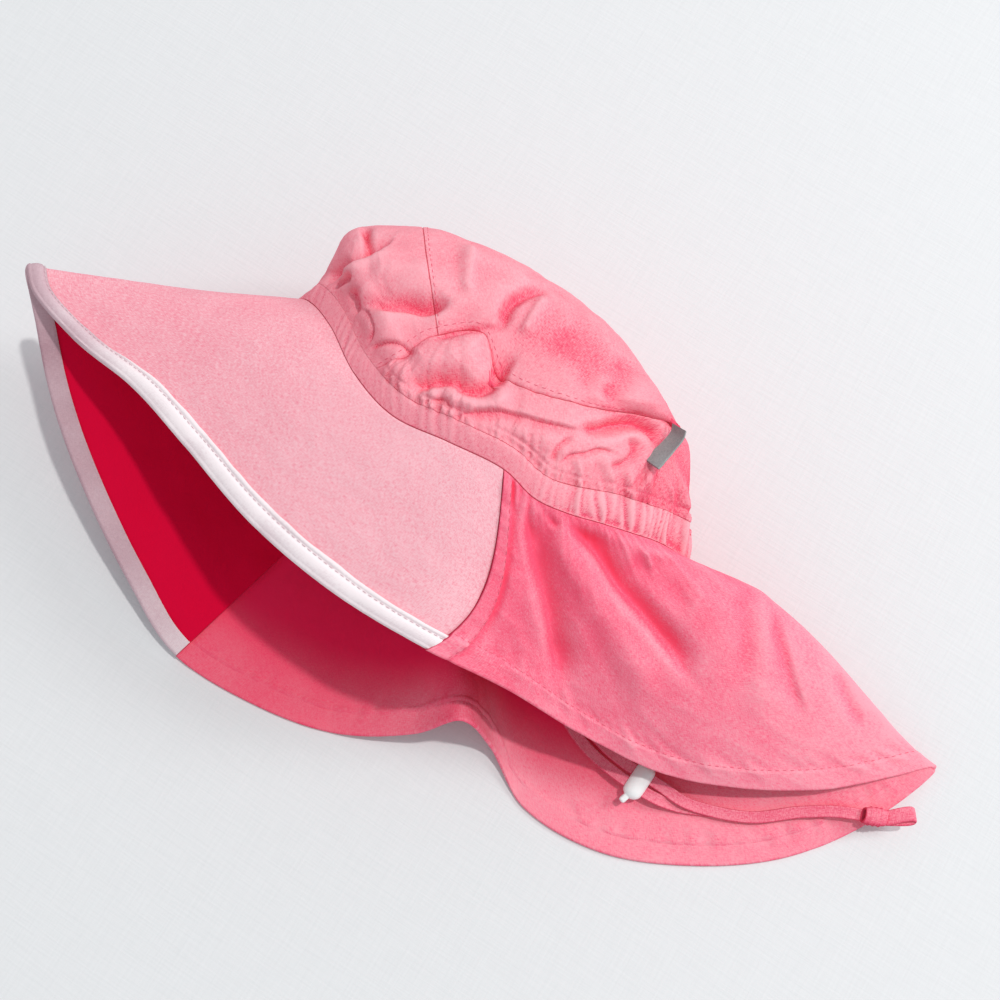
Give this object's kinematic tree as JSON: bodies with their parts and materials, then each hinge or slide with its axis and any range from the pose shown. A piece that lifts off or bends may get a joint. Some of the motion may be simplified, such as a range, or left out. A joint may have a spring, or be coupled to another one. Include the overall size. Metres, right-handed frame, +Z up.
{
  "type": "baby sun hat",
  "caption": "Pink baby sun hat lying on its side, with a bound front brim, a soft gathered crown, a neck flap and a chin strap with a toggle.",
  "frame": {"origin": "below the middle of the lying hat, on the surface that it rests on; the strap is left out", "axes": "+X from the brim's front edge to the flap's back edge, +Y from the mouth towards the top of the crown, +Z up"},
  "size_m": [0.3939, 0.1926, 0.094],
  "materials": {
    "coral_pink_cloth": "matt fine cotton weave",
    "band_pink_cloth": "matt gathered cotton",
    "brim_pale_pink_cloth": "matt two-tone cotton weave",
    "raspberry_lining": "matt fine cotton weave",
    "blush_binding": "matt folded tape",
    "strap_pink_cloth": "matt folded strap",
    "white_plastic": "smooth",
    "grey_label_weave": "fine woven label"
  },
  "bodies": {
    "root": {"crown_near_side": "coral_pink_cloth", "crown_far_side": "coral_pink_cloth", "crown_top_front": "coral_pink_cloth", "crown_top_back": "coral_pink_cloth", "band": "band_pink_cloth", "brim_cover": "brim_pale_pink_cloth", "brim_lining": "raspberry_lining", "brim_binding": "blush_binding", "neck_flap": "coral_pink_cloth", "chin_strap_near": "strap_pink_cloth", "chin_strap_far": "strap_pink_cloth", "strap_knot": "strap_pink_cloth", "strap_end_loop": "strap_pink_cloth", "strap_toggle": "white_plastic", "label_tab": "grey_label_weave"}
  },
  "joints": []
}
